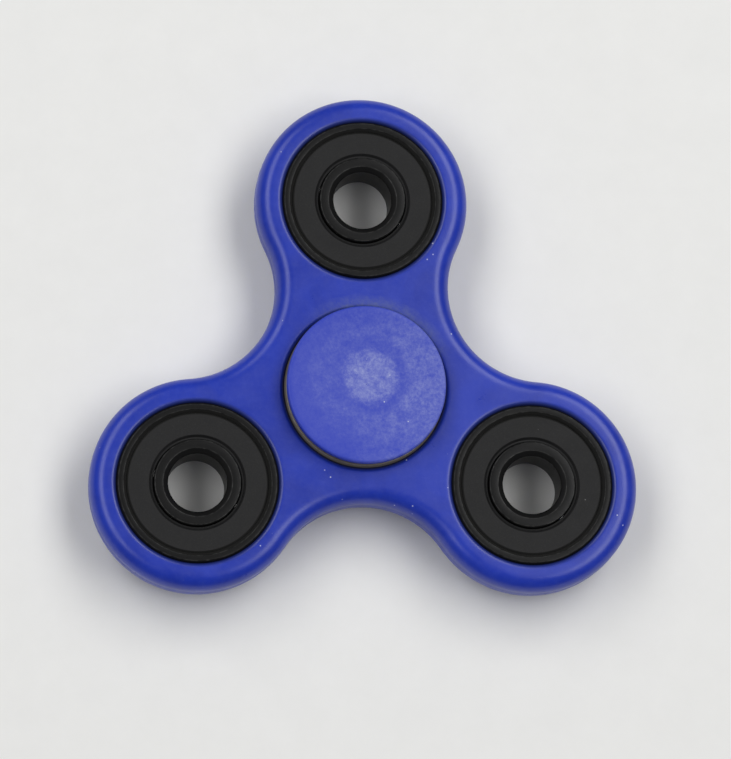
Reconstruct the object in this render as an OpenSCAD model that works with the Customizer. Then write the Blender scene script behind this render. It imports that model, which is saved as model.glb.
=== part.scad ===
// Three-lobed fidget spinner.
// A moulded body turns on a ball bearing that is held between two finger caps,
// and a ball bearing of the same kind is pressed into each lobe as a weight.
// The origin is the middle of the spin axis, +Z is the spin axis, and the top lobe points along +Y.

/* [Body] */
// Distance from the spin axis to the middle of each lobe
lobe_pitch = 26.35; // [25.5:0.05:28]
// Radius of each lobe's outline
lobe_r = 14.6; // [14:0.1:15.5]
// Distance from the spin axis to the outline at each waist
waist_reach = 15.7; // [15:0.1:17]
// Radius of the rounding along the body's top and bottom edges
edge_round = 2.2; // [1:0.1:2.4]
// Chamfer at each mouth of a bearing seat
seat_chamfer = 0.7; // [0.1:0.05:0.8]

/* [Finger caps] */
// Radius of the cap's disc
cap_r = 10.85; // [9:0.05:12]
// How far the cap's rim stands above the bearing's face
cap_stand = 2.9; // [2.6:0.1:4]
// Height of the upright band round the rim
rim_h = 1.2; // [0.8:0.1:1.4]
// Width of the flat ring round the finger dish
rim_flat = 0.4; // [0.2:0.1:1.5]
// Depth of the finger dish in the middle
dish_depth = 0.6; // [0.3:0.1:1]
// Radius of the hollow inside the stem
stem_hollow_r = 2.6; // [1.5:0.1:3]

/* [Bearings] */
// Number of balls in each bearing
ball_count = 7; // [5:1:7]
// Gap between a ball and its raceways and cage pockets
ball_gap = 0.055; // [0.03:0.005:0.07]
// Thickness of the cage's strip
cage_t = 0.3; // [0.2:0.05:0.35]

/* [Hidden] */
$fn = 96;
overcut = 1;

// The sizes that are standard for a bearing of 22 mm outside and 8 mm bore.
bearing_r = 11;
bore_r = 4;
half_h = 3.5;
ball_r = 1.984;
ball_pitch_r = 7.5;
groove_r = ball_r + ball_gap;

lobe_angles = [90, 210, 330];

// The waists are arcs that run smoothly into two neighbouring lobes.
waist_excess = lobe_r - waist_reach;
waist_pitch = (lobe_pitch * lobe_pitch - waist_excess * waist_excess) / (lobe_pitch + 2 * waist_excess);
waist_r = waist_pitch - waist_reach;
// Each waist reaches this far past the spin axis, so that the three waists join up in the middle.
waist_overlap = 6;
// The lobes reach this far into the waists' arcs, so that the two cross cleanly and don't just graze.
lobe_bite = 0.02;

// The cap's levels and radii.
cap_top_z = half_h + cap_stand;
rim_low_z = cap_top_z - rim_h;
rim_edge = 0.2;
belly_r = cap_r - 1.3;
belly_z = half_h + 0.6;
collar_r = 5.6;
stem_tip_z = 0.1;
stem_lead = 0.4;
roof_t = 1.2;
roof_z = cap_top_z - dish_depth - roof_t;
dish_mouth_r = cap_r - rim_edge - rim_flat;
dish_r = (dish_mouth_r * dish_mouth_r + dish_depth * dish_depth) / (2 * dish_depth);

// The outer ring's section.
outer_shoulder_r = 9.05;
outer_edge = 0.25;
face_inner_r = 10.05;
seat_lip_r = 9.7;
seat_lip_low_z = 2.96;
seat_lip_top_z = 3.04;
bead_r = 9.93;
bead_low_z = 2.5;
bead_top_z = 2.78;

// The inner ring's section.
inner_shoulder_r = 5.95;
inner_edge = 0.15;
bore_chamfer_r = 0.7;
bore_chamfer_z = 0.5;

// The seal's section.
seal_gap = 0.04;
lip_r = inner_shoulder_r + 0.1;
lip_root_r = lip_r + 0.25;
lip_low_z = 2.46;
web_inner_r = lip_root_r + 0.3;
web_outer_r = 9.4;
web_low_z = 2.6;
web_top_z = 3.1;
bead_root_r = web_outer_r + 0.25;

// The cage's strip.
cage_inner_r = 6.75;
cage_outer_r = 8.25;

sides = ["upper", "lower"];
bearings = ["centre", "top", "left", "right"];
// The middle bearing's rings are bare steel, and the others are black.
ring_colours = ["#77787a", "#1d1d1e", "#1d1d1e", "#1d1d1e"];
bearing_places = [[0, 0], for (a = lobe_angles) lobe_pitch * [cos(a), sin(a)]];
ball_angles = [for (n = [0:ball_count - 1]) 90 + n * 360 / ball_count];
ball_places = [for (a = ball_angles) ball_pitch_r * [cos(a), sin(a)]];

// Upper parts are drawn as they are, and lower parts are turned over.
module on_side(side) {
    mirror([0, 0, side == "lower" ? 1 : 0]) children();
}

module at_bearing(b) {
    translate(bearing_places[b]) children();
}

// Turns a section round the axis, where upper is the section's points above the middle plane,
// in order towards the outside, and the same points follow below it in reverse.
module turned(upper) {
    lower = [for (i = [len(upper) - 1:-1:0]) [upper[i][0], -upper[i][1]]];
    rotate_extrude() difference() {
        polygon(concat(upper, lower));
        children();
    }
}

// The body's section from a plain end to an outline, whose two edges are rounded.
module body_section(plain_x, outline_x) {
    band_h = 2 * (half_h - edge_round);
    round_x = outline_x + sign(plain_x - outline_x) * edge_round;
    translate([min(plain_x, round_x), -half_h]) square([abs(plain_x - round_x), 2 * half_h]);
    translate([min(plain_x, outline_x), -band_h / 2]) square([abs(plain_x - outline_x), band_h]);
    for (z = [-band_h / 2, band_h / 2]) translate([round_x, z]) circle(edge_round);
}

module bearing_seat() {
    turned([
        [0, half_h + overcut],
        [bearing_r + seat_chamfer + overcut, half_h + overcut],
        [bearing_r, half_h - seat_chamfer]
    ]);
}

// A lobe is a round slab with rounded edges.
module lobe() {
    rotate_extrude() body_section(0, lobe_r + lobe_bite);
}

// A waist is the slab between two lobes, in the direction of angle a, hollowed by an arc about a
// point outside it.
module waist(a) {
    hollow_place = waist_pitch * [cos(a), sin(a)];
    lobe_places = [for (side = [-60, 60]) lobe_pitch * [cos(a + side), sin(a + side)]];
    inner_place = -waist_overlap * [cos(a), sin(a)];
    intersection() {
        translate(hollow_place) rotate_extrude() body_section(waist_pitch, waist_r);
        linear_extrude(height = 2 * (half_h + overcut), center = true)
            polygon([hollow_place, lobe_places[0], inner_place, lobe_places[1]]);
    }
}

module spinner_body() {
    color("#2b3fae") difference() {
        union() {
            for (b = [1:3]) at_bearing(b) lobe();
            for (a = lobe_angles) waist(a + 60);
        }
        for (b = [0:3]) at_bearing(b) bearing_seat();
    }
}

// A finger cap: a dished disc on a collar, with a hollow stem that presses into the bearing's bore.
module finger_cap() {
    color("#4450c0") rotate_extrude() difference() {
        polygon([
            [0, roof_z], [stem_hollow_r, roof_z], [stem_hollow_r, stem_tip_z],
            [bore_r - stem_lead, stem_tip_z], [bore_r, stem_tip_z + stem_lead],
            [bore_r, half_h], [collar_r, half_h], [collar_r, belly_z],
            [belly_r, belly_z], [cap_r, rim_low_z], [cap_r, cap_top_z - rim_edge],
            [cap_r - rim_edge, cap_top_z], [0, cap_top_z]
        ]);
        translate([0, cap_top_z - dish_depth + dish_r]) circle(dish_r, $fn = 720);
    }
}

module outer_ring(b) {
    color(ring_colours[b]) turned([
        [outer_shoulder_r, bead_low_z], [bead_r, bead_low_z], [bead_r, bead_top_z],
        [seat_lip_r, seat_lip_low_z], [seat_lip_r, seat_lip_top_z], [face_inner_r, half_h],
        [bearing_r - outer_edge, half_h], [bearing_r, half_h - outer_edge]
    ])
        translate([ball_pitch_r, 0]) circle(groove_r);
}

module inner_ring(b) {
    color(ring_colours[b]) turned([
        [bore_r, half_h - bore_chamfer_z], [bore_r + bore_chamfer_r, half_h],
        [inner_shoulder_r - inner_edge, half_h], [inner_shoulder_r, half_h - inner_edge]
    ])
        translate([ball_pitch_r, 0]) circle(groove_r);
}

// A rubber seal: its bead snaps into the outer ring, and its lip stops just short of the inner ring.
module seal() {
    color("#2c2c2d") rotate_extrude() polygon([
        [lip_r, lip_low_z], [lip_root_r, lip_low_z], [web_inner_r, web_low_z],
        [outer_shoulder_r, web_low_z], [outer_shoulder_r + 0.1, bead_low_z], [bead_r, bead_low_z],
        [bead_r, bead_top_z - seal_gap], [bead_root_r, bead_top_z - seal_gap],
        [web_outer_r, web_top_z], [web_inner_r, web_top_z],
        [lip_root_r, bead_top_z - seal_gap], [lip_r, bead_top_z - seal_gap]
    ]);
}

module ball(n) {
    color("#b9bcc0") translate(ball_places[n - 1]) sphere(ball_r);
}

module all_balls(r) {
    for (place = ball_places) translate(place) sphere(r);
}

// Half of a pressed ribbon cage: flat tabs between the balls, and a domed strip over each ball.
module cage_half() {
    color("#8d8f92") difference() {
        intersection() {
            union() {
                cylinder(r = cage_outer_r + overcut, h = cage_t);
                all_balls(groove_r + cage_t);
            }
            cylinder(r = cage_outer_r, h = half_h);
        }
        translate([0, 0, -overcut]) cylinder(r = cage_inner_r, h = half_h + 2 * overcut);
        all_balls(groove_r);
    }
}

spinner_body();
for (s = sides)
    on_side(s) finger_cap();
for (b = [0:3]) {
    name = str(bearings[b], "_bearing_");
    at_bearing(b) outer_ring(b);
    at_bearing(b) inner_ring(b);
    for (s = sides) {
        at_bearing(b) on_side(s) seal();
        at_bearing(b) on_side(s) cage_half();
    }
    for (n = [1:ball_count])
        at_bearing(b) ball(n);
}
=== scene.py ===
"""Three-lobed fidget spinner: moulded blue ABS body and finger caps round black sealed ball bearings."""

import math

import bmesh
import bpy
from mathutils import Matrix, Quaternion, Vector


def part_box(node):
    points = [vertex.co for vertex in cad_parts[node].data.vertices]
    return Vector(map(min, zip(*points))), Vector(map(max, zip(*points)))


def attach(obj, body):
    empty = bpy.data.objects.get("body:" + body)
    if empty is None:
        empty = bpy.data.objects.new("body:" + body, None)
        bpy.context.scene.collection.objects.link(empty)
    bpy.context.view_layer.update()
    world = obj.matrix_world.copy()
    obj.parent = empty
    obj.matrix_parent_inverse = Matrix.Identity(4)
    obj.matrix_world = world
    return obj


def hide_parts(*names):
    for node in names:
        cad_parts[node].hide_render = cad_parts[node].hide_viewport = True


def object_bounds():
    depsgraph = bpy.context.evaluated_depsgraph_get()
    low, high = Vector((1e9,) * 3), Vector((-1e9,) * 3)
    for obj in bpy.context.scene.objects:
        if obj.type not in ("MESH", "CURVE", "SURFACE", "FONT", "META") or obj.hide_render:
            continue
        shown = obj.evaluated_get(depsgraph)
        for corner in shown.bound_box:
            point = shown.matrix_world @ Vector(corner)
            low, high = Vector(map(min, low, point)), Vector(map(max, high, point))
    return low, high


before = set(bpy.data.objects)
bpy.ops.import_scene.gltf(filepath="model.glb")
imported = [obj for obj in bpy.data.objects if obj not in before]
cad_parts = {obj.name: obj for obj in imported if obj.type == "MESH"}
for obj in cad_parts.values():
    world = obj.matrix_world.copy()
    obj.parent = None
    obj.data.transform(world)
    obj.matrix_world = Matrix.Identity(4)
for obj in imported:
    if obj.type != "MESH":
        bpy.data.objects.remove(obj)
cad_low, cad_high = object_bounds()

MM = 0.001
FULL_TURN = 2 * math.pi
BEARINGS = ("centre", "top", "left", "right")
SIDES = {"upper": 1, "lower": -1}


# ---------------------------------------------------------------- camera

# The eye is a little in front of the spinner and to its left, high above it.
VIEW_DISTANCE = 0.6
VIEW_AIM = Vector((0.44, 1.77, 0.39)) * MM
VIEW_BACK = Vector((-0.10184, -0.19217, 0.97606)).normalized()
VIEW_ROLL = math.radians(27.886)
LENS_MM = 207.67


def make_camera():
    data = bpy.data.cameras.new("camera")
    data.lens = LENS_MM
    data.sensor_width = 36
    data.clip_start = 0.05
    data.clip_end = 10
    camera = bpy.data.objects.new("camera", data)
    bpy.context.scene.collection.objects.link(camera)
    level = (-VIEW_BACK).to_track_quat("-Z", "Y")
    turn = Quaternion(VIEW_BACK, VIEW_ROLL) @ level
    camera.matrix_world = Matrix.LocRotScale(VIEW_AIM + VIEW_BACK * VIEW_DISTANCE, turn, None)
    bpy.context.scene.camera = camera


# ---------------------------------------------------------------- places and sizes, from the frame

def middle_of(node):
    low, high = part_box(node)
    return (low + high) / 2 / MM


def half_size_of(node):
    low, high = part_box(node)
    return (high - low) / 2 / MM


PLACES = {b: middle_of(f"{b}_bearing_outer_ring") for b in BEARINGS}
HALF_H = half_size_of("spinner_body").z
SEAT_R = half_size_of("centre_bearing_outer_ring").x
CAP_R = half_size_of("upper_finger_cap").x
CAP_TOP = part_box("upper_finger_cap")[1].z / MM
LOBE_PITCH = PLACES["top"].y
LOBE_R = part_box("spinner_body")[1].y / MM - LOBE_PITCH
INNER_SHOULDER_R = half_size_of("centre_bearing_inner_ring").x
BEAD_R = half_size_of("centre_bearing_upper_seal").x

# The body's own sizes in millimetres: the waists' distance from the spin axis, the rounding along its
# outlines, and the rounding at the mouths of its seats.
WAIST_REACH = 15.7
EDGE_ROUND = 2.2
MOUTH_ROUND = 0.7

# A bearing's own sizes in millimetres.
BORE_R = 4.0
BORE_CHAMFER = 0.7
BALL_PITCH_R = 7.5
RACEWAY_R = 2.039
SHOULDER_R = 9.05
SHELF_Z = 2.5
GROOVE_R = 9.7
FACE_INNER_R = 10.05
RING_CHAMFER = 0.25
SEAL_INNER_R = INNER_SHOULDER_R + 0.1
SEAL_OUTER_R = 9.4
SEAL_TOP_Z = 3.1
SEAL_BEAD_Z = 2.74

# A finger cap's own sizes in millimetres.
RIM_HEIGHT = 1.2
RIM_EDGE = 0.2
RIM_FLAT = 0.4
DISH_DEPTH = 0.6
COLLAR_R = 5.6
STEM_HOLLOW_R = 2.6
STEM_TIP_Z = 0.1


# ---------------------------------------------------------------- meshes

def new_piece(bm, name, body, nodes, material):
    """Makes a mesh in millimetres a finished piece that rides on a body and stands for CAD nodes."""
    bmesh.ops.remove_doubles(bm, verts=bm.verts, dist=1e-4)
    bmesh.ops.recalc_face_normals(bm, faces=bm.faces)
    bmesh.ops.scale(bm, vec=(MM, MM, MM), verts=bm.verts)
    mesh = bpy.data.meshes.new(name)
    bm.to_mesh(mesh)
    bm.free()
    for polygon in mesh.polygons:
        polygon.use_smooth = True
    mesh.set_sharp_from_angle(angle=math.radians(32))
    mesh.materials.append(material)
    piece = bpy.data.objects.new(name, mesh)
    bpy.context.scene.collection.objects.link(piece)
    level = piece.modifiers.new("flat faces stay flat", "WEIGHTED_NORMAL")
    level.mode = "FACE_AREA"
    level.weight = 60
    level.keep_sharp = True
    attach(piece, body)
    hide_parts(*nodes)
    return piece


def arc(centre, radius, start, stop, steps):
    """Points (r, z) along an arc from one angle to another, in degrees."""
    angles = [math.radians(start + (stop - start) * i / steps) for i in range(steps + 1)]
    return [(centre[0] + radius * math.cos(a), centre[1] + radius * math.sin(a)) for a in angles]


def mirrored(upper):
    """A closed section from its upper half, which runs outwards."""
    return upper + [(r, -z) for r, z in reversed(upper)]


def section_edges(bm, points, edge):
    """Lays out a closed section in the XZ plane, rounds its sharp corners, and returns its edges."""
    verts = [bm.verts.new((r, 0, z)) for r, z in points]
    bm.faces.new(verts)
    corners = []
    for before, vert, after in zip(verts[-1:] + verts[:-1], verts, verts[1:] + verts[:1]):
        bend = (vert.co - before.co).angle(after.co - vert.co)
        if bend > math.radians(20) and vert.co.x > 0:
            corners.append(vert)
    bmesh.ops.bevel(
        bm, geom=corners, offset=edge, offset_type="OFFSET", segments=3, profile=0.5,
        affect="VERTICES", clamp_overlap=True, material=-1,
    )
    bmesh.ops.delete(bm, geom=list(bm.faces), context="FACES_ONLY")
    on_axis = [e for e in bm.edges if all(v.co.x < 1e-6 for v in e.verts)]
    bmesh.ops.delete(bm, geom=on_axis, context="EDGES")
    return list(bm.edges)


def lathe(points, place, edge=0.05, steps=160):
    """Turns a section round an upright axis at a place, and keeps each point's offset from that axis."""
    bm = bmesh.new()
    edges = section_edges(bm, points, edge)
    bmesh.ops.spin(
        bm, geom=list(bm.verts) + edges, cent=(0, 0, 0), axis=(0, 0, 1), angle=FULL_TURN, steps=steps,
        use_merge=True,
    )
    turned = bm.verts.layers.float_vector.new("turned")
    for vert in bm.verts:
        vert[turned] = vert.co
    bmesh.ops.translate(bm, vec=(place.x, place.y, 0), verts=bm.verts)
    return bm


def outer_ring_section():
    """A shelf and a notch that hold the seal, then a cone from the notch's lip up to the face."""
    upper = [
        (SHOULDER_R, SHELF_Z), (BEAD_R, SHELF_Z), (BEAD_R, 2.78), (GROOVE_R, 2.96), (GROOVE_R, 3.04),
        (FACE_INNER_R, HALF_H), (SEAT_R - RING_CHAMFER, HALF_H), (SEAT_R, HALF_H - RING_CHAMFER),
    ]
    return mirrored(upper) + arc((BALL_PITCH_R, 0), RACEWAY_R, -40.5, 40.5, 16)


def inner_ring_section():
    """A wide chamfer at the bore, a flat face, and a raceway between two shoulders."""
    raceway = arc((BALL_PITCH_R, 0), RACEWAY_R, 139.5, 220.5, 16)
    upper = [
        (BORE_R, HALF_H - 0.5), (BORE_R + BORE_CHAMFER, HALF_H),
        (INNER_SHOULDER_R - 0.15, HALF_H), (INNER_SHOULDER_R, HALF_H - 0.15),
    ]
    lower = [(r, -z) for r, z in reversed(upper)]
    return upper + raceway + lower


def seal_section():
    """A thin lip beside the inner ring, a thicker web, and a bead that snaps into the outer ring."""
    lip = SEAL_INNER_R
    root = lip + 0.25
    web = root + 0.3
    low_lip, low_web = 2.46, 2.6
    return [
        (lip, low_lip), (root, low_lip), (web, low_web), (SHOULDER_R, low_web), (SHOULDER_R + 0.1, SHELF_Z),
        (BEAD_R, SHELF_Z), (BEAD_R, SEAL_BEAD_Z), (SEAL_OUTER_R + 0.25, SEAL_BEAD_Z),
        (SEAL_OUTER_R, SEAL_TOP_Z), (web, SEAL_TOP_Z), (root, SEAL_BEAD_Z), (lip, SEAL_BEAD_Z),
    ]


def cap_section():
    """A hollow stem, a collar on the bearing's inner ring, and a disc with a dish between its rims."""
    mouth = CAP_R - RIM_EDGE - RIM_FLAT
    dish_r = (mouth**2 + DISH_DEPTH**2) / (2 * DISH_DEPTH)
    half = math.degrees(math.asin(mouth / dish_r))
    roof_z = CAP_TOP - DISH_DEPTH - 1.2
    belly_z = HALF_H + 0.6
    lead = 0.4
    return [
        (0, roof_z), (STEM_HOLLOW_R, roof_z), (STEM_HOLLOW_R, STEM_TIP_Z), (BORE_R - lead, STEM_TIP_Z),
        (BORE_R, STEM_TIP_Z + lead), (BORE_R, HALF_H), (COLLAR_R, HALF_H), (COLLAR_R, belly_z),
        (CAP_R - 1.3, belly_z), (CAP_R, CAP_TOP - RIM_HEIGHT), (CAP_R, CAP_TOP - RIM_EDGE),
        (CAP_R - RIM_EDGE, CAP_TOP),
    ] + arc((0, CAP_TOP - DISH_DEPTH + dish_r), dish_r, -90 + half, -90, 28)


def seat_wall(place):
    """One bearing seat: an upright bore with a rounded mouth at each face of the body."""
    bm = bmesh.new()
    rounding = arc((SEAT_R + MOUTH_ROUND, HALF_H - MOUTH_ROUND), MOUTH_ROUND, 90, 180, 8)
    points = mirrored([(SEAT_R + MOUTH_ROUND + 0.25, HALF_H)] + rounding)
    verts = [bm.verts.new((r, 0, z)) for r, z in points]
    edges = [bm.edges.new(pair) for pair in zip(verts, verts[1:])]
    bmesh.ops.spin(
        bm, geom=verts + edges, cent=(0, 0, 0), axis=(0, 0, 1), angle=FULL_TURN, steps=144, use_merge=True,
    )
    bmesh.ops.translate(bm, vec=(place.x, place.y, 0), verts=bm.verts)
    mesh = bpy.data.meshes.new("seat")
    bm.to_mesh(mesh)
    bm.free()
    return mesh


def body_mesh():
    """The body: a wall spun round the lobes and waists in turn, four seats, and two flat faces."""
    bm = bmesh.new()
    # A waist is an arc about a point outside the body, which runs smoothly into the lobes on both sides.
    excess = LOBE_R - WAIST_REACH
    waist_pitch = (LOBE_PITCH**2 - excess**2) / (LOBE_PITCH + 2 * excess)
    waist_half = math.atan2(LOBE_PITCH * math.sin(math.radians(60)), waist_pitch - LOBE_PITCH / 2)
    lobe_half = math.radians(60) + waist_half
    flat = EDGE_ROUND + 0.3
    round_z = HALF_H - EDGE_ROUND
    upper = [(-flat, HALF_H)] + arc((-EDGE_ROUND, round_z), EDGE_ROUND, 90, 0, 12)
    # The mould's parting line stands a hair proud all the way round, at half height.
    seam = [(0, 0.12), (0.03, 0.05)]
    wall = mirrored(upper + seam)
    lobe = Vector((0, LOBE_PITCH, 0))
    start = math.radians(90) - lobe_half
    out = Vector((math.cos(start), math.sin(start), 0))
    verts = [bm.verts.new(lobe + out * (LOBE_R + d) + Vector((0, 0, z))) for d, z in wall]
    edges = [bm.edges.new(pair) for pair in zip(verts, verts[1:])]
    ring = verts + edges
    for direction in (90, 210, 330):
        turns = (
            (LOBE_PITCH, direction, 2 * lobe_half, 112),
            (waist_pitch, direction + 60, -2 * waist_half, 48),
        )
        for pitch, heading, angle, steps in turns:
            heading = math.radians(heading)
            centre = pitch * Vector((math.cos(heading), math.sin(heading), 0))
            spun = bmesh.ops.spin(bm, geom=ring, cent=centre, axis=(0, 0, 1), angle=angle, steps=steps)
            ring = spun["geom_last"]
    bmesh.ops.remove_doubles(bm, verts=bm.verts, dist=1e-3)
    for place in PLACES.values():
        seat = seat_wall(place)
        bm.from_mesh(seat)
        bpy.data.meshes.remove(seat)
    for side in SIDES.values():
        face_z = side * HALF_H
        rims = [e for e in bm.edges if e.is_boundary and all(abs(v.co.z - face_z) < 1e-3 for v in e.verts)]
        bmesh.ops.triangle_fill(bm, use_beauty=True, use_dissolve=False, edges=rims, normal=(0, 0, side))
    return bm


# ---------------------------------------------------------------- materials

def srgb(code):
    """A hex colour as the linear values that a shader takes."""
    values = [int(code[i:i + 2], 16) / 255 for i in (1, 3, 5)]
    linear = [v / 12.92 if v <= 0.04045 else ((v + 0.055) / 1.055) ** 2.4 for v in values]
    return (*linear, 1)


def add(tree, kind, inputs, out=0, stops=(), **settings):
    """Adds a node and gives back one of its outputs. An input is a value or another node's output, and
    the stops are a colour ramp's places and grey levels, with its two ends first."""
    node = tree.nodes.new("ShaderNode" + kind)
    for name, value in settings.items():
        setattr(node, name, value)
    for key, value in inputs.items():
        if isinstance(value, bpy.types.NodeSocket):
            tree.links.new(value, node.inputs[key])
        else:
            node.inputs[key].default_value = value
    for n, (place, level) in enumerate(stops):
        ramp = node.color_ramp.elements
        stop = ramp[n] if n < 2 else ramp.new(place)
        stop.position = place
        stop.color = (level, level, level, 1)
    return node.outputs[out] if node.outputs else node


def new_material(name):
    """An empty material, with its coordinates in millimetres from the spinner's middle."""
    material = bpy.data.materials.new(name)
    material.use_nodes = True
    tree = material.node_tree
    tree.nodes.clear()
    at = add(tree, "TexCoord", {}, out="Object")
    at_mm = add(tree, "VectorMath", {0: at, "Scale": 1 / MM}, operation="SCALE")
    return material, tree, at_mm


def flat_distance(tree, at, place=(0, 0)):
    """The distance in millimetres from an upright axis."""
    axis = (place[0], place[1], 0)
    level = add(tree, "VectorMath", {0: at, 1: (1, 1, 0)}, operation="MULTIPLY")
    return add(tree, "VectorMath", {0: level, 1: axis}, out="Value", operation="DISTANCE")


def dusted(tree, at, colour, pale, cell=0.8, size=0.12, share=0.04):
    """Lays specks of pale dust on a colour: small dots in a few of the cells of a random grid."""
    scale = 1 / cell
    distance = add(tree, "TexVoronoi", {"Vector": at, "Scale": scale}, out="Distance")
    choice = add(tree, "TexVoronoi", {"Vector": at, "Scale": scale}, out="Color")
    lot = add(tree, "VectorMath", {0: choice, 1: (1, 0, 0)}, out="Value", operation="DOT_PRODUCT")
    chosen = add(tree, "MapRange", {0: lot, 1: share, 2: 0.5 * share, 4: 0.9})
    dot = add(tree, "MapRange", {0: distance, 1: size / cell, 2: 0.5 * size / cell})
    specks = add(tree, "Math", {0: dot, 1: chosen}, operation="MULTIPLY")
    return add(tree, "Mix", {0: specks, 6: colour, 7: srgb(pale)}, out=2, data_type="RGBA")


def groove_painted_lighter(tree, radius, colour):
    """Paints the groove between a seal and its outer ring a lighter grey on a colour: painted light that
    lifts the shade in that groove.
    """
    off = add(tree, "Math", {0: radius, 1: GROOVE_R}, operation="SUBTRACT")
    off = add(tree, "Math", {0: off}, operation="ABSOLUTE")
    groove_lift = add(tree, "MapRange", {0: off, 1: 0.36, 2: 0.22, 4: 0.8})
    return add(tree, "Mix", {0: groove_lift, 6: colour, 7: srgb("#282827")}, out=2, data_type="RGBA")


def blue_abs_body():
    """Injection-moulded ABS in a deep blue: an even satin gloss over a faint orange peel, a little cloudy
    where the plastic flowed, with pale dust on it, a painted dark line of shade where it meets the
    bearings, and a grey scuff on the face above the finger cap."""
    material, tree, at = new_material("blue_abs_moulded")
    flow = add(tree, "TexNoise", {
        "Vector": at, "Scale": 1 / 9, "Detail": 5, "Roughness": 0.6, "Distortion": 0.8,
    })
    cloud = add(tree, "MapRange", {0: flow, 1: 0.35, 2: 0.65})
    colour = add(tree, "Mix", {0: cloud, 6: srgb("#0F2CA2"), 7: srgb("#1534B2")}, out=2, data_type="RGBA")
    mottle = add(tree, "TexNoise", {"Vector": at, "Scale": 1 / 0.7, "Detail": 4, "Roughness": 0.7})
    haze = add(tree, "MapRange", {0: mottle, 1: 0.45, 2: 0.75, 4: 0.1})
    colour = add(tree, "Mix", {0: haze, 6: colour, 7: srgb("#5C6BC4")}, out=2, data_type="RGBA")

    # Painted shade: the plastic is darkened to a dark navy near each seat's mouth, standing in for the
    # shadow in the gap round each bearing.
    from_axis = LOBE_PITCH
    for place in PLACES.values():
        off = flat_distance(tree, at, place)
        from_axis = add(tree, "Math", {0: from_axis, 1: off}, operation="MINIMUM")
    painted_seat_shade = add(tree, "MapRange", {0: from_axis, 1: SEAT_R + 0.72, 2: SEAT_R + 0.2, 4: 0.75})
    colour = add(tree, "Mix", {0: painted_seat_shade, 6: colour, 7: srgb("#20263E")}, out=2, data_type="RGBA")

    from_middle = flat_distance(tree, at)
    near_cap = add(tree, "MapRange", {0: from_middle, 1: 13.2, 2: CAP_R})
    upwards = add(tree, "VectorMath", {0: at, 1: (0.06, 0.19, 0)}, out="Value", operation="DOT_PRODUCT")
    above = add(tree, "MapRange", {0: upwards, 1: 1.3, 2: 2.2})
    rub = add(tree, "TexNoise", {"Vector": at, "Scale": 1 / 1.4, "Detail": 6, "Roughness": 0.8})
    rubbed = add(tree, "MapRange", {0: rub, 1: 0.36, 2: 0.66, 3: 0.1})
    scuff = add(tree, "Math", {0: near_cap, 1: above}, operation="MULTIPLY")
    scuff = add(tree, "Math", {0: scuff, 1: rubbed}, operation="MULTIPLY")
    pale = add(tree, "Math", {0: scuff, 1: 0.9}, operation="MULTIPLY")
    colour = add(tree, "Mix", {0: pale, 6: colour, 7: srgb("#5C6880")}, out=2, data_type="RGBA")
    colour = dusted(tree, at, colour, "#CDD2EA")

    worn = add(tree, "TexNoise", {"Vector": at, "Scale": 1 / 3, "Detail": 6, "Roughness": 0.7})
    roughness = add(tree, "MapRange", {0: worn, 1: 0.3, 2: 0.7, 3: 0.27, 4: 0.37})
    roughness = add(tree, "Math", {0: scuff, 1: 0.25, 2: roughness}, operation="MULTIPLY_ADD")
    peel = add(tree, "TexNoise", {"Vector": at, "Scale": 1 / 1.3, "Detail": 2})
    grain = add(tree, "TexNoise", {"Vector": at, "Scale": 1 / 0.22, "Detail": 3})
    height = add(tree, "Math", {0: peel, 1: 0.5, 2: grain}, operation="MULTIPLY_ADD")
    bump = add(tree, "Bump", {"Height": height, "Strength": 0.25, "Distance": 0.02 * MM})
    shader = add(tree, "BsdfPrincipled", {
        "Base Color": colour, "Roughness": roughness, "Normal": bump, "IOR": 1.53,
    })
    add(tree, "OutputMaterial", {"Surface": shader})
    return material


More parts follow.
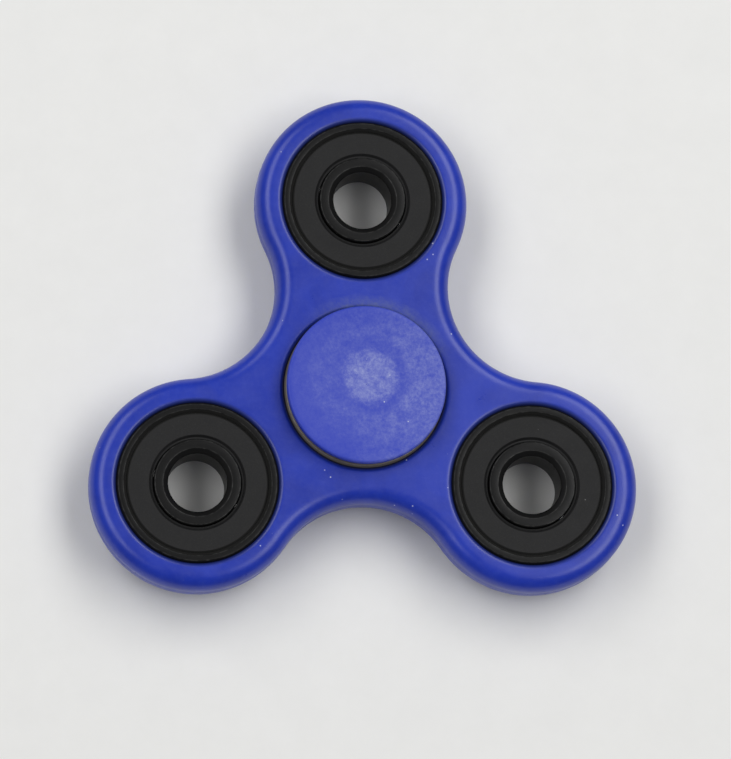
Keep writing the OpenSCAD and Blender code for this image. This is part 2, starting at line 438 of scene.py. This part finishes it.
def blue_abs_cap():
    """The same ABS on the finger caps, dulled by handling: a whitish bloom, thickest in a disc in the
    middle, blotchy and fine-grained, over the clean blue that shows between, and raised towards one side as
    a painted glare."""
    material, tree, at = new_material("blue_abs_worn_with_painted_glare")
    wander = add(tree, "TexNoise", {"Vector": at, "Scale": 1 / 1.7, "Detail": 6, "Roughness": 0.7})
    push = add(tree, "MapRange", {0: wander, 1: 0.2, 2: 0.8, 3: -1.0, 4: 1.0})
    from_disc = add(tree, "Math", {0: flat_distance(tree, at, (0.6, 1.1)), 1: push}, operation="ADD")
    rings = add(
        tree, "ValToRGB", {0: add(tree, "Math", {0: from_disc, 1: 12}, operation="DIVIDE")},
        stops=[
            (0.0, 0.58), (0.9, 0.07), (0.24, 0.62), (0.29, 0.42), (0.34, 0.19), (0.42, 0.16), (0.52, 0.23),
            (0.64, 0.18), (0.76, 0.1),
        ],
    )
    # Painted glare: besides the bloom from handling, the cap is whitened towards one side and along that
    # side's rim, standing in for light falling there.
    side = add(tree, "VectorMath", {0: at, 1: (0.98, -0.17, 0)}, out="Value", operation="DOT_PRODUCT")
    outside = add(tree, "MapRange", {0: from_disc, 1: 4.2, 2: 6.2})
    painted_glare_side = add(tree, "MapRange", {0: side, 1: -1.5, 2: 4.5, 4: 0.17})
    painted_glare_rim = add(tree, "MapRange", {0: side, 1: 6, 2: 9.5, 4: 0.12})
    bloom = add(tree, "Math", {0: outside, 1: painted_glare_side, 2: rings}, operation="MULTIPLY_ADD")
    bloom = add(tree, "Math", {0: bloom, 1: painted_glare_rim}, operation="ADD")
    blotch = add(tree, "TexNoise", {"Vector": at, "Scale": 1 / 1.6, "Detail": 6, "Roughness": 0.65})
    grit = add(tree, "TexNoise", {"Vector": at, "Scale": 1 / 0.4, "Detail": 5, "Roughness": 0.8})
    blotchy = add(tree, "MapRange", {0: blotch, 1: 0.32, 2: 0.68, 3: 0.5, 4: 1.5})
    gritty = add(tree, "MapRange", {0: grit, 1: 0.34, 2: 0.66, 3: 0.55, 4: 1.1})
    bloom = add(tree, "Math", {0: bloom, 1: blotchy}, operation="MULTIPLY")
    amount = add(tree, "Math", {0: bloom, 1: gritty}, operation="MULTIPLY", use_clamp=True)
    colour = add(tree, "Mix", {0: amount, 6: srgb("#2A3EBA"), 7: srgb("#979FD6")}, out=2, data_type="RGBA")
    colour = dusted(tree, at, colour, "#CDD2EA", share=0.02)
    roughness = add(tree, "MapRange", {0: amount, 3: 0.42, 4: 0.6})
    grain = add(tree, "TexNoise", {"Vector": at, "Scale": 1 / 0.18, "Detail": 3})
    height = add(tree, "Math", {0: blotch, 1: 0.5, 2: grain}, operation="MULTIPLY_ADD")
    bump = add(tree, "Bump", {"Height": height, "Strength": 0.35, "Distance": 0.02 * MM})
    shader = add(tree, "BsdfPrincipled", {
        "Base Color": colour, "Roughness": roughness, "Normal": bump, "IOR": 1.53,
        "Specular IOR Level": 0.25,
    })
    add(tree, "OutputMaterial", {"Surface": shader})
    return material


def turned_steel(name, finish, bare, metallic, rough, shine, edges, edge_wear_and_highlight):
    """Hardened bearing steel, turned and ground: fine rings round the axis, and pale bare metal along the
    edges that rub, which also stands for a painted highlight on those edges. The lobes' rings have a satin
    black oxide skin, which hides the metal's own reflections, and the middle bearing's are bare and dulled
    by a film of dust.
    The edges are radii in millimetres, and the rings' own spacing of a few hundredths is drawn coarser so
    that it shows."""
    material, tree, at = new_material(name)
    own = add(tree, "Attribute", {}, out="Vector", attribute_name="turned")
    height = add(tree, "SeparateXYZ", {0: own}, out="Z")
    radius = flat_distance(tree, own)
    across = add(tree, "CombineXYZ", {0: radius, 2: height})
    rings = add(tree, "TexNoise", {"Vector": across, "Scale": 1 / 0.16, "Detail": 3, "Roughness": 0.7})
    patches = add(tree, "TexNoise", {"Vector": at, "Scale": 1 / 0.8, "Detail": 4, "Roughness": 0.7})
    # Painted highlight, partly real wear: pale lines of bare metal at the edge radii near the faces stand
    # both for wear and for the highlights those edges catch.
    worn = 0.0
    for edge in edges:
        off = add(tree, "Math", {0: radius, 1: edge}, operation="SUBTRACT")
        off = add(tree, "Math", {0: off}, operation="ABSOLUTE")
        line = add(tree, "MapRange", {0: off, 1: 0.08, 2: 0.02})
        worn = add(tree, "Math", {0: line, 1: worn}, operation="MAXIMUM")
    level = add(tree, "Math", {0: height}, operation="ABSOLUTE")
    outer = add(tree, "MapRange", {0: level, 1: 2.9, 2: 3.3, 4: edge_wear_and_highlight})
    broken = add(tree, "MapRange", {0: patches, 1: 0.42, 2: 0.62})
    worn = add(tree, "Math", {0: worn, 1: outer}, operation="MULTIPLY")
    worn = add(tree, "Math", {0: worn, 1: broken}, operation="MULTIPLY")
    patchy = add(tree, "MapRange", {0: patches, 1: 0.3, 2: 0.7})
    streak = add(tree, "MapRange", {0: rings, 1: 0.35, 2: 0.65, 4: 0.25})
    colour = add(tree, "Mix", {0: patchy, 6: srgb(finish[0]), 7: srgb(finish[1])}, out=2, data_type="RGBA")
    colour = add(tree, "Mix", {0: streak, 6: colour, 7: srgb(finish[2])}, out=2, data_type="RGBA")
    colour = add(tree, "Mix", {0: worn, 6: colour, 7: srgb(bare)}, out=2, data_type="RGBA")
    # Painted light: the groove beside the seal is lifted to a lighter grey.
    colour = groove_painted_lighter(tree, radius, colour)
    roughness = add(tree, "MapRange", {0: rings, 1: 0.3, 2: 0.7, 3: rough - 0.05, 4: rough + 0.07})
    bump = add(tree, "Bump", {"Height": rings, "Strength": 0.3, "Distance": 0.008 * MM})
    shader = add(tree, "BsdfPrincipled", {
        "Base Color": colour, "Roughness": roughness, "Normal": bump, "Metallic": metallic,
        "Specular IOR Level": shine,
    })
    add(tree, "OutputMaterial", {"Surface": shader})
    return material


def seal_rubber():
    """Moulded nitrile rubber: charcoal and matt, with a fine grain from the mould, drawn a little coarser
    than it is so that it shows, and a little grey dust."""
    material, tree, at = new_material("nitrile_rubber")
    own = add(tree, "Attribute", {}, out="Vector", attribute_name="turned")
    cloud = add(tree, "TexNoise", {"Vector": at, "Scale": 1 / 2.5, "Detail": 5, "Roughness": 0.7})
    uneven = add(tree, "MapRange", {0: cloud, 1: 0.35, 2: 0.65})
    colour = add(tree, "Mix", {0: uneven, 6: srgb("#121213"), 7: srgb("#181819")}, out=2, data_type="RGBA")
    grit = add(tree, "TexNoise", {"Vector": at, "Scale": 1 / 0.16, "Detail": 4, "Roughness": 0.8})
    grey = add(tree, "MapRange", {0: grit, 1: 0.5, 2: 0.75, 4: 0.35})
    colour = add(tree, "Mix", {0: grey, 6: colour, 7: srgb("#3A3A3A")}, out=2, data_type="RGBA")
    # Painted light: the seal's edge by the groove is lifted to a lighter grey.
    colour = groove_painted_lighter(tree, flat_distance(tree, own), colour)
    colour = dusted(tree, at, colour, "#8A8A88", cell=0.7, size=0.08, share=0.03)
    roughness = add(tree, "MapRange", {0: cloud, 1: 0.3, 2: 0.7, 3: 0.55, 4: 0.68})
    bump = add(tree, "Bump", {"Height": grit, "Strength": 0.4, "Distance": 0.02 * MM})
    shader = add(tree, "BsdfPrincipled", {
        "Base Color": colour, "Roughness": roughness, "Normal": bump, "Specular IOR Level": 0.3,
    })
    add(tree, "OutputMaterial", {"Surface": shader})
    return material


def polished_steel():
    """Lapped chrome steel balls: a mirror with the faintest scatter of fine scratches."""
    material, tree, at = new_material("chrome_steel_lapped")
    fine = add(tree, "TexNoise", {"Vector": at, "Scale": 1 / 0.3, "Detail": 5, "Roughness": 0.8})
    patchy = add(tree, "MapRange", {0: fine, 1: 0.3, 2: 0.7})
    colour = add(tree, "Mix", {0: patchy, 6: srgb("#BFC2C6"), 7: srgb("#D2D4D7")}, out=2, data_type="RGBA")
    roughness = add(tree, "MapRange", {0: fine, 1: 0.3, 2: 0.7, 3: 0.08, 4: 0.18})
    shader = add(tree, "BsdfPrincipled", {"Base Color": colour, "Roughness": roughness, "Metallic": 1.0})
    add(tree, "OutputMaterial", {"Surface": shader})
    return material


def pressed_steel():
    """Cold-rolled steel strip, pressed to shape: a dull grey with the rolling lines along it."""
    material, tree, at = new_material("steel_strip_pressed")
    lines = add(tree, "TexNoise", {"Vector": at, "Scale": 1 / 0.4, "Detail": 4, "Roughness": 0.7})
    patchy = add(tree, "MapRange", {0: lines, 1: 0.3, 2: 0.7})
    colour = add(tree, "Mix", {0: patchy, 6: srgb("#8C8E90"), 7: srgb("#A6A8AA")}, out=2, data_type="RGBA")
    roughness = add(tree, "MapRange", {0: lines, 1: 0.3, 2: 0.7, 3: 0.3, 4: 0.42})
    bump = add(tree, "Bump", {"Height": lines, "Strength": 0.3, "Distance": 0.01 * MM})
    shader = add(tree, "BsdfPrincipled", {
        "Base Color": colour, "Roughness": roughness, "Normal": bump, "Metallic": 1.0,
    })
    add(tree, "OutputMaterial", {"Surface": shader})
    return material


def white_board():
    """Matt white board, with a faint cloudiness in its paper."""
    material, tree, at = new_material("matt_white_board")
    fibre = add(tree, "TexNoise", {"Vector": at, "Scale": 1 / 6, "Detail": 6, "Roughness": 0.7})
    cloudy = add(tree, "MapRange", {0: fibre, 1: 0.3, 2: 0.7})
    colour = add(tree, "Mix", {0: cloudy, 6: srgb("#F0F0EE"), 7: srgb("#F3F3F1")}, out=2, data_type="RGBA")
    shader = add(tree, "BsdfPrincipled", {"Base Color": colour, "Roughness": 0.85})
    add(tree, "OutputMaterial", {"Surface": shader})
    return material


# ---------------------------------------------------------------- the spinner

def make_spinner():
    """The body, the caps, and the bearings' rings and seals. The balls and cages keep their own shapes."""
    body_plastic = blue_abs_body()
    cap_plastic = blue_abs_cap()
    outer_edges = (FACE_INNER_R, SEAT_R - RING_CHAMFER)
    inner_edges = (BORE_R + BORE_CHAMFER, INNER_SHOULDER_R - 0.15)
    black = turned_steel(
        "bearing_steel_black_oxide", finish=("#0B0B0C", "#101010", "#181819"), bare="#8A8A88", metallic=0.0,
        rough=0.34, shine=0.22, edges=inner_edges + outer_edges, edge_wear_and_highlight=0.14,
    )
    bare = turned_steel(
        "bearing_steel_ground", finish=("#6E6861", "#79736B", "#8C857D"), bare="#B8B8B6", metallic=0.4,
        rough=0.4, shine=0.5, edges=outer_edges, edge_wear_and_highlight=0.2,
    )
    rubber = seal_rubber()
    ball_metal = polished_steel()
    cage_metal = pressed_steel()
    new_piece(body_mesh(), "moulded_body", "spinner", ["spinner_body"], body_plastic)
    for side, sign in SIDES.items():
        section = [(r, sign * z) for r, z in cap_section()]
        bm = lathe(section, Vector(), edge=0.12)
        new_piece(bm, f"{side}_cap", "finger_grip", [f"{side}_finger_cap"], cap_plastic)
    for b in BEARINGS:
        place = PLACES[b]
        node = f"{b}_bearing"
        inner_body = "finger_grip" if b == "centre" else f"{b}_inner_ring"
        steel, steel_slot = black, "black_bearing_steel"
        if b == "centre":
            steel, steel_slot = bare, "bare_bearing_steel"
        new_piece(
            lathe(outer_ring_section(), place), f"{b}_outer_ring", "spinner", [f"{node}_outer_ring"],
            steel,
        )
        new_piece(
            lathe(inner_ring_section(), place, steps=128), f"{b}_inner_race", inner_body,
            [f"{node}_inner_ring"], steel,
        )
        for side, sign in SIDES.items():
            section = [(r, sign * z) for r, z in seal_section()]
            new_piece(
                lathe(section, place, edge=0.04), f"{b}_{side}_seal", "spinner", [f"{node}_{side}_seal"],
                rubber,
            )
    for name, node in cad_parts.items():
        for part, metal in (("_ball_", ball_metal), ("_cage_half", cage_metal)):
            if part in name:
                node.data.materials.clear()
                node.data.materials.append(metal)


# ---------------------------------------------------------------- floor and light

def make_floor():
    bm = bmesh.new()
    bmesh.ops.create_grid(bm, x_segments=1, y_segments=1, size=4)
    bmesh.ops.translate(bm, vec=(0, 0, cad_low.z), verts=bm.verts)
    mesh = bpy.data.meshes.new("floor")
    bm.to_mesh(mesh)
    bm.free()
    mesh.materials.append(white_board())
    floor = bpy.data.objects.new("floor", mesh)
    bpy.context.scene.collection.objects.link(floor)


def softbox(name, place, width, length, brightness):
    """A rectangular softbox that faces the spinner, with its long side along Y."""
    data = bpy.data.lights.new(name, "AREA")
    data.shape = "RECTANGLE"
    data.size = width
    data.size_y = length
    data.energy = brightness * math.pi * width * length
    light = bpy.data.objects.new(name, data)
    bpy.context.scene.collection.objects.link(light)
    place = Vector(place)
    right = Vector((0, 1, 0)).cross(place.normalized())
    along = place.cross(right)
    facing = Matrix((right.normalized(), along.normalized(), place.normalized())).transposed()
    light.matrix_world = Matrix.LocRotScale(place, facing.to_quaternion(), None)


def make_light():
    world = bpy.data.worlds.new("studio")
    world.use_nodes = True
    background = world.node_tree.nodes["Background"]
    background.inputs["Color"].default_value = (1, 1, 1, 1)
    background.inputs["Strength"].default_value = 0.16
    bpy.context.scene.world = world
    softbox("left_softbox", (-0.52, 0.2, 0.8), 0.42, 1.2, 2.85)
    softbox("right_softbox", (0.45, 0.2, 0.85), 0.45, 1.2, 3.55)


make_camera()
make_spinner()
make_floor()
make_light()
bpy.context.scene.view_settings.view_transform = "Standard"
